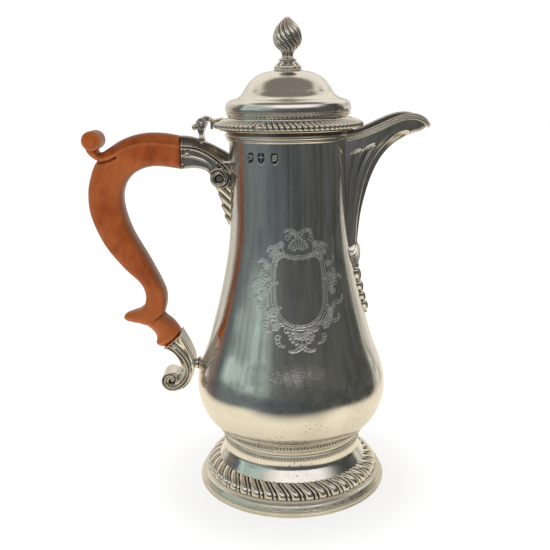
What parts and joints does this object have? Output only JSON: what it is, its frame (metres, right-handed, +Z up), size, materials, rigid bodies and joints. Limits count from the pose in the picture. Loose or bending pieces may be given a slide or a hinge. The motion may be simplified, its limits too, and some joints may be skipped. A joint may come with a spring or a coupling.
{
  "type": "silver coffee pot",
  "caption": "Baluster-shaped silver coffee pot on a gadrooned foot, with a fluted beak spout, a hinged domed lid with a spiral finial, and a scrolled wooden handle in cast sockets.",
  "frame": {"origin": "on the axis of the body, in the plane of the foot's lower edge", "axes": "+Z up along the body's axis, +X towards the spout, -X towards the handle, -Y the side with the engraved shield"},
  "size_m": [0.2105, 0.1194, 0.29],
  "materials": {
    "silver_plain": "old polished sterling silver with fine scratches",
    "silver_cast": "cast and chased sterling silver, polished, with dark tarnish in the hollows",
    "fruitwood": "carved orange-brown fruitwood with a worn satin polish"
  },
  "bodies": {
    "pot": {"body_shell": "silver_plain", "rim_moulding": "silver_cast", "spout": "silver_cast", "spout_lip": "silver_cast", "spout_drop": "silver_cast", "foot_collar": "silver_cast", "foot_dome": "silver_plain", "foot_gadroon": "silver_cast", "foot_rim": "silver_cast", "upper_socket": "silver_cast", "upper_socket_leaf": "silver_cast", "lower_socket": "silver_cast", "lower_socket_stub": "silver_cast", "handle": "fruitwood", "upper_handle_pin": "silver_plain", "lower_handle_pin": "silver_plain", "hinge_bracket": "silver_cast", "hinge_pin": "silver_plain"},
    "lid": {"lid_shell": "silver_plain", "lid_gadroon": "silver_cast", "lid_bezel": "silver_plain", "lid_hinge_arm": "silver_cast", "finial_base": "silver_cast", "finial": "silver_cast", "finial_nut": "silver_plain"}
  },
  "joints": [
    {"name": "lid_hinge", "type": "hinge", "parent": "pot", "child": "lid", "pos_m": [-0.0516, 0, 0.2296], "axis": [0, -1, 0], "range_deg": [0, 100]}
  ]
}
